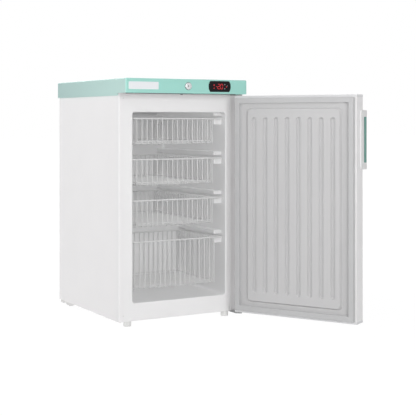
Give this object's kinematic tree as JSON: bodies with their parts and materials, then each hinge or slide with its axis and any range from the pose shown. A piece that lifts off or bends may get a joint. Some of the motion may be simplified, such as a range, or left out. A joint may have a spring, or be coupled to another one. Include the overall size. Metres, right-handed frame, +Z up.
{
  "type": "under-counter freezer",
  "caption": "Compact under-counter laboratory freezer with a teal worktop lid, door standing open and wire baskets on moulded runners.",
  "frame": {"origin": "on the floor, below the middle of the cabinet's front face", "axes": "+X to the right seen from the front, +Y from the door to the back, +Z up"},
  "size_m": [0.7335, 1.0071, 0.845],
  "materials": {
    "case_white": "satin",
    "galvanised": "satin",
    "liner_white": "satin",
    "foam": "matte",
    "lid_teal": "satin",
    "board": "matte",
    "tray_grey": "matte",
    "badge_white": "satin",
    "bezel_black": "gloss",
    "window_dark": "gloss",
    "lamp_red": "gloss",
    "mark_grey": "matte",
    "controller_case": "matte",
    "chrome_bright": "polished",
    "zinc_steel": "satin",
    "hinge_steel": "satin",
    "nylon_white": "matte",
    "copper": "satin",
    "compressor_black": "satin",
    "rubber_black": "matte",
    "gasket_white": "matte",
    "cap_white": "satin",
    "wire_white": "gloss",
    "handle_white": "satin",
    "handle_teal": "satin"
  },
  "bodies": {
    "cabinet": {"outer_case": "case_white", "back_panel": "galvanised", "base_panel": "case_white", "inner_liner": "liner_white", "insulation_foam": "foam", "niche_panel": "galvanised", "evaporator_coil": "copper", "condenser_loop": "copper", "lid_cover": "lid_teal", "worktop_core": "board", "fascia_tray": "tray_grey", "badge_plate": "badge_white", "controller_bezel": "bezel_black", "controller_window": "window_dark", "display_segments": "lamp_red", "key_marks": "mark_grey", "controller_body": "controller_case", "lock_housing": "chrome_bright", "lock_nut": "zinc_steel", "top_hinge_bracket": "hinge_steel", "bottom_hinge_bracket": "hinge_steel", "cabinet_screws": "zinc_steel", "hinge_hole_plugs": "nylon_white", "compressor_tray": "galvanised", "compressor": "compressor_black", "compressor_grommets": "rubber_black", "terminal_box": "controller_case", "filter_drier": "copper", "refrigerant_pipes": "copper", "cable_gland": "controller_case", "drain_plug": "nylon_white", "foot_inserts": "zinc_steel", "roller_brackets": "cap_white", "roller_axles": "zinc_steel"},
    "door": {"door_skin": "case_white", "door_foam": "foam", "door_liner": "liner_white", "door_gasket": "gasket_white", "door_top_cap": "cap_white", "door_bottom_cap": "cap_white", "door_bushes": "nylon_white", "handle_mount": "handle_white", "handle_grip": "handle_teal"},
    "lock": {"lock_plug": "chrome_bright", "lock_cam": "zinc_steel"},
    "basket_1": {"basket_1_rim": "wire_white", "basket_1_wires": "wire_white"},
    "basket_2": {"basket_2_rim": "wire_white", "basket_2_wires": "wire_white"},
    "basket_3": {"basket_3_rim": "wire_white", "basket_3_wires": "wire_white"},
    "basket_4": {"basket_4_rim": "wire_white", "basket_4_wires": "wire_white"},
    "front_foot_left": {"front_foot_left": "nylon_white"},
    "rear_roller_left": {"rear_roller_left": "nylon_white"},
    "front_foot_right": {"front_foot_right": "nylon_white"},
    "rear_roller_right": {"rear_roller_right": "nylon_white"}
  },
  "joints": [
    {"name": "door_hinge", "type": "hinge", "parent": "cabinet", "child": "door", "pos_m": [0.2255, -0.044, 0.4], "axis": [0, 0, 1], "range_deg": [-119.5, 10.5]},
    {"name": "lock_turn", "type": "hinge", "parent": "cabinet", "child": "lock", "pos_m": [0, -0.06, 0.8204], "axis": [0, 1, 0], "range_deg": [-38, 52]},
    {"name": "basket_1_slide", "type": "slide", "parent": "cabinet", "child": "basket_1", "axis": [0, -1, 0], "range_m": [0, 0.3]},
    {"name": "basket_2_slide", "type": "slide", "parent": "cabinet", "child": "basket_2", "axis": [0, -1, 0], "range_m": [0, 0.3]},
    {"name": "basket_3_slide", "type": "slide", "parent": "cabinet", "child": "basket_3", "axis": [0, -1, 0], "range_m": [0, 0.3]},
    {"name": "basket_4_slide", "type": "slide", "parent": "cabinet", "child": "basket_4", "axis": [0, -1, 0], "range_m": [0, 0.2]},
    {"name": "foot_left_screw", "type": "hinge", "parent": "cabinet", "child": "front_foot_left", "pos_m": [-0.193, 0.014, 0.009], "axis": [0, 0, 1], "continuous": true},
    {"name": "foot_right_screw", "type": "hinge", "parent": "cabinet", "child": "front_foot_right", "pos_m": [0.193, 0.014, 0.009], "axis": [0, 0, 1], "continuous": true},
    {"name": "roller_left_spin", "type": "hinge", "parent": "cabinet", "child": "rear_roller_left", "pos_m": [-0.2115, 0.47, 0.018], "axis": [1, 0, 0], "continuous": true},
    {"name": "roller_right_spin", "type": "hinge", "parent": "cabinet", "child": "rear_roller_right", "pos_m": [0.2115, 0.47, 0.018], "axis": [1, 0, 0], "continuous": true}
  ]
}
